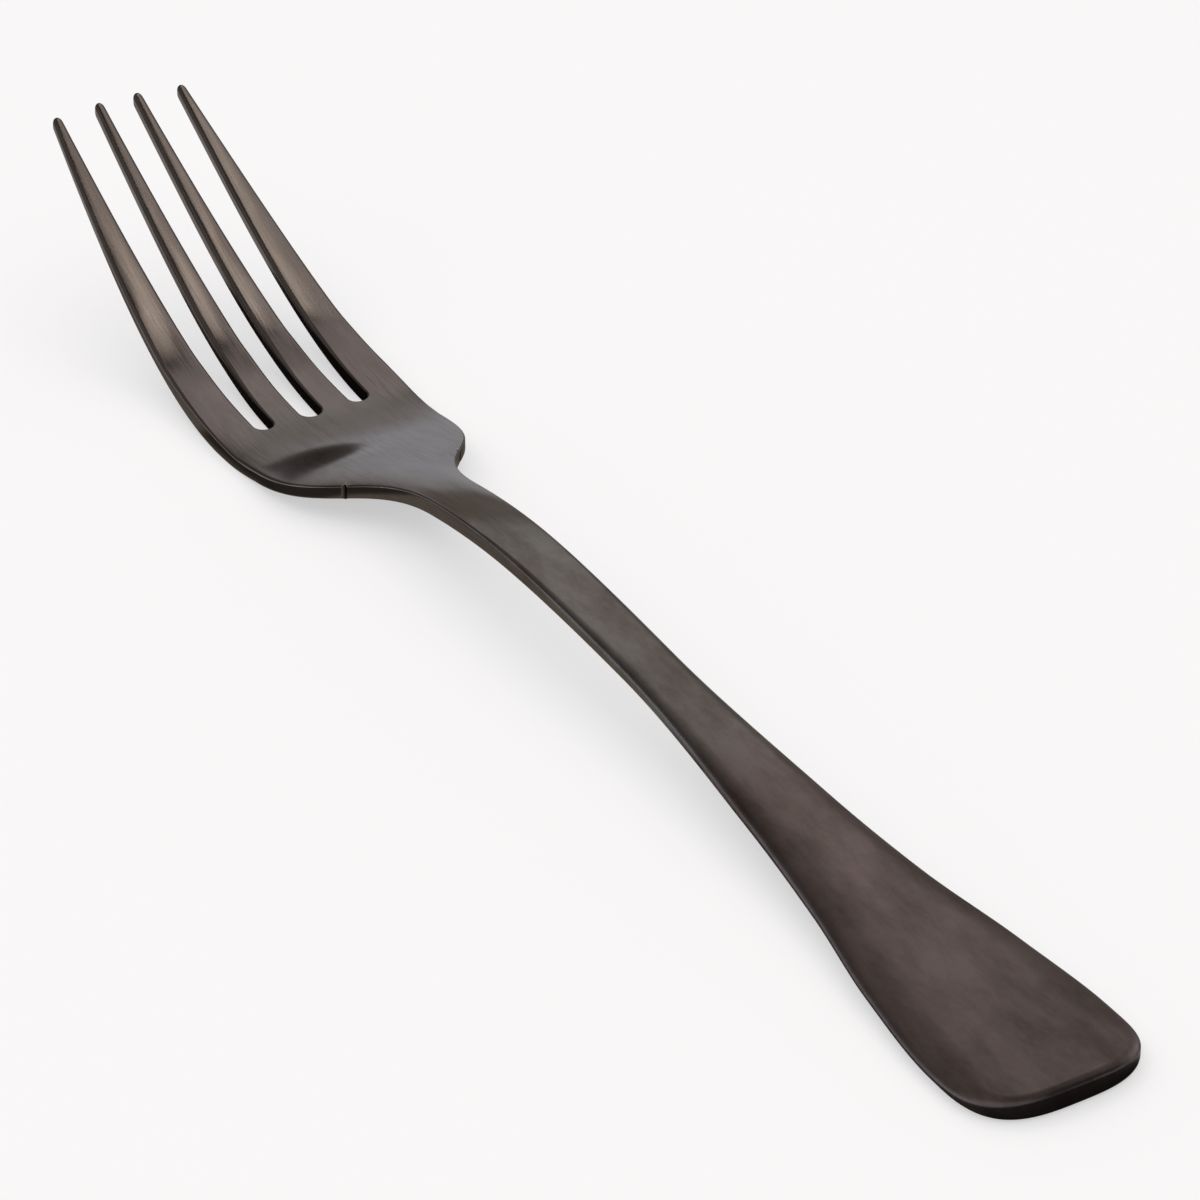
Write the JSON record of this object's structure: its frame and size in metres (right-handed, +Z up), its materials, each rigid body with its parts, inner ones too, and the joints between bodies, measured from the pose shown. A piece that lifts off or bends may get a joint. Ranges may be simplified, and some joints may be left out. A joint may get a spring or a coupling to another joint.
{
  "type": "table fork",
  "caption": "Table fork pressed from one piece of steel: flared handle with a rounded end, arched narrow neck, dished palm and tapered, upswept tines.",
  "frame": {"origin": "middle of the bounding box's floor, on the table under the fork", "axes": "+X along the fork towards the tine tips, +Y to the fork's left, +Z up from the table"},
  "size_m": [0.201, 0.0252, 0.0227],
  "materials": {
    "coated_steel": "dark satin coat over lengthwise brushed stainless steel"
  },
  "bodies": {
    "root": {"fork": "coated_steel"}
  },
  "joints": []
}
